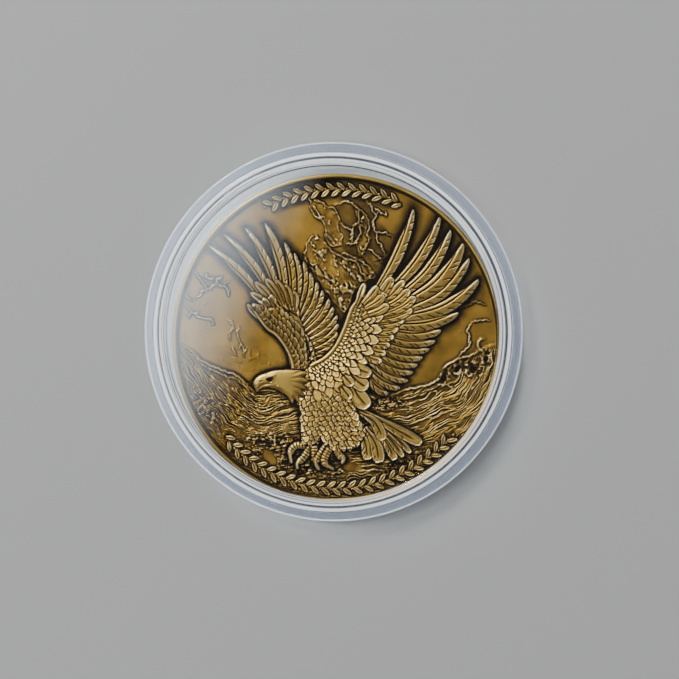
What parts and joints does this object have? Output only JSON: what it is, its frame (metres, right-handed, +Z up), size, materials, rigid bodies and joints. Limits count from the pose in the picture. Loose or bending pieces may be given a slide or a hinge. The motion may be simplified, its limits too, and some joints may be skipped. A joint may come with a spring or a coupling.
{
  "type": "challenge coin in capsule",
  "caption": "Round antique-brass coin with an eagle in high relief, lying loose in a clear round snap capsule whose lid lifts off.",
  "frame": {"origin": "centre of the capsule's underside, on the surface that it rests on", "axes": "+Z up out of the coin's face, +Y towards the top of the coin's picture, +X to its right"},
  "size_m": [0.046, 0.046, 0.0058],
  "materials": {
    "antique_brass": "antiqued satin brass: dark patina in the recesses, rubbed bright on the high relief",
    "clear_plastic": "clear polished injection-moulded polystyrene"
  },
  "bodies": {
    "capsule_base": {"capsule_base": "clear_plastic"},
    "capsule_lid": {"capsule_lid": "clear_plastic"},
    "coin": {"coin": "antique_brass"}
  },
  "joints": [
    {"name": "lid_lift", "type": "slide", "parent": "capsule_base", "child": "capsule_lid", "axis": [0, 0, 1], "range_m": [0, 0.02]},
    {"name": "coin_lift", "type": "slide", "parent": "capsule_base", "child": "coin", "axis": [0, 0, 1], "range_m": [0, 0.01]}
  ],
  "couplings": [
    {"joint": "coin_lift", "follows": "lid_lift", "ratio": 0.5}
  ]
}
